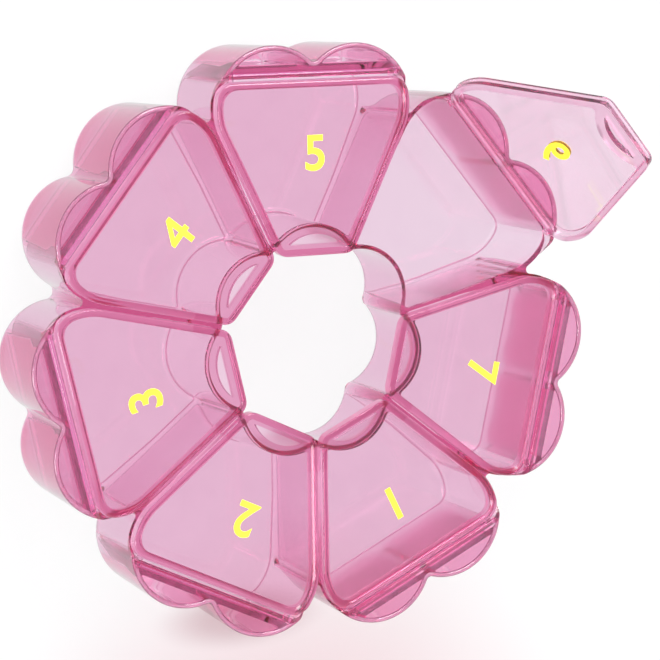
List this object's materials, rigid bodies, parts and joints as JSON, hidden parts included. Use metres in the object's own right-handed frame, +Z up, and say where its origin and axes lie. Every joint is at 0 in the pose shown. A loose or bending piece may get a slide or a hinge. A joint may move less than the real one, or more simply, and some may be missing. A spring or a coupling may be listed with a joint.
{
  "type": "weekly pill organizer",
  "caption": "Flower-shaped weekly pill organizer: heart-shaped petal compartments around a centre hole, each with its own hinged lid and a fingertip notch.",
  "frame": {"origin": "centre of the ring, on the surface that the tray stands on", "axes": "+Z up out of the lids, +Y towards the petal of lid 5, lid 6 stands open to its right"},
  "size_m": [0.14, 0.1371, 0.0656],
  "materials": {
    "tray_plastic": "clear tinted, glossy",
    "lid_plastic": "clear tinted, glossy",
    "rod_plastic": "clear tinted, deep magenta"
  },
  "bodies": {
    "tray": {"tray": "tray_plastic"},
    "lid_1": {"lid_1": "lid_plastic", "hinge_rod_1": "rod_plastic"},
    "lid_2": {"lid_2": "lid_plastic", "hinge_rod_2": "rod_plastic"},
    "lid_3": {"lid_3": "lid_plastic", "hinge_rod_3": "rod_plastic"},
    "lid_4": {"lid_4": "lid_plastic", "hinge_rod_4": "rod_plastic"},
    "lid_5": {"lid_5": "lid_plastic", "hinge_rod_5": "rod_plastic"},
    "lid_6": {"lid_6": "lid_plastic", "hinge_rod_6": "rod_plastic"},
    "lid_7": {"lid_7": "lid_plastic", "hinge_rod_7": "rod_plastic"}
  },
  "joints": [
    {"name": "lid_1_hinge", "type": "hinge", "parent": "tray", "child": "lid_1", "pos_m": [0.02698, -0.05603, 0.02645], "axis": [0.901, 0.4339, 0], "range_deg": [0, 113]},
    {"name": "lid_2_hinge", "type": "hinge", "parent": "tray", "child": "lid_2", "pos_m": [-0.02698, -0.05603, 0.02645], "axis": [0.901, -0.4339, 0], "range_deg": [0, 113]},
    {"name": "lid_3_hinge", "type": "hinge", "parent": "tray", "child": "lid_3", "pos_m": [-0.06062, -0.01384, 0.02645], "axis": [0.2225, -0.9749, 0], "range_deg": [0, 113]},
    {"name": "lid_4_hinge", "type": "hinge", "parent": "tray", "child": "lid_4", "pos_m": [-0.04862, 0.03877, 0.02645], "axis": [-0.6235, -0.7818, 0], "range_deg": [0, 113]},
    {"name": "lid_5_hinge", "type": "hinge", "parent": "tray", "child": "lid_5", "pos_m": [0, 0.06218, 0.02645], "axis": [-1, 0, 0], "range_deg": [0, 113]},
    {"name": "lid_6_hinge", "type": "hinge", "parent": "tray", "child": "lid_6", "pos_m": [0.04862, 0.03877, 0.02645], "axis": [-0.6235, 0.7818, 0], "range_deg": [-113, 0]},
    {"name": "lid_7_hinge", "type": "hinge", "parent": "tray", "child": "lid_7", "pos_m": [0.06062, -0.01384, 0.02645], "axis": [0.2225, 0.9749, 0], "range_deg": [0, 113]}
  ]
}
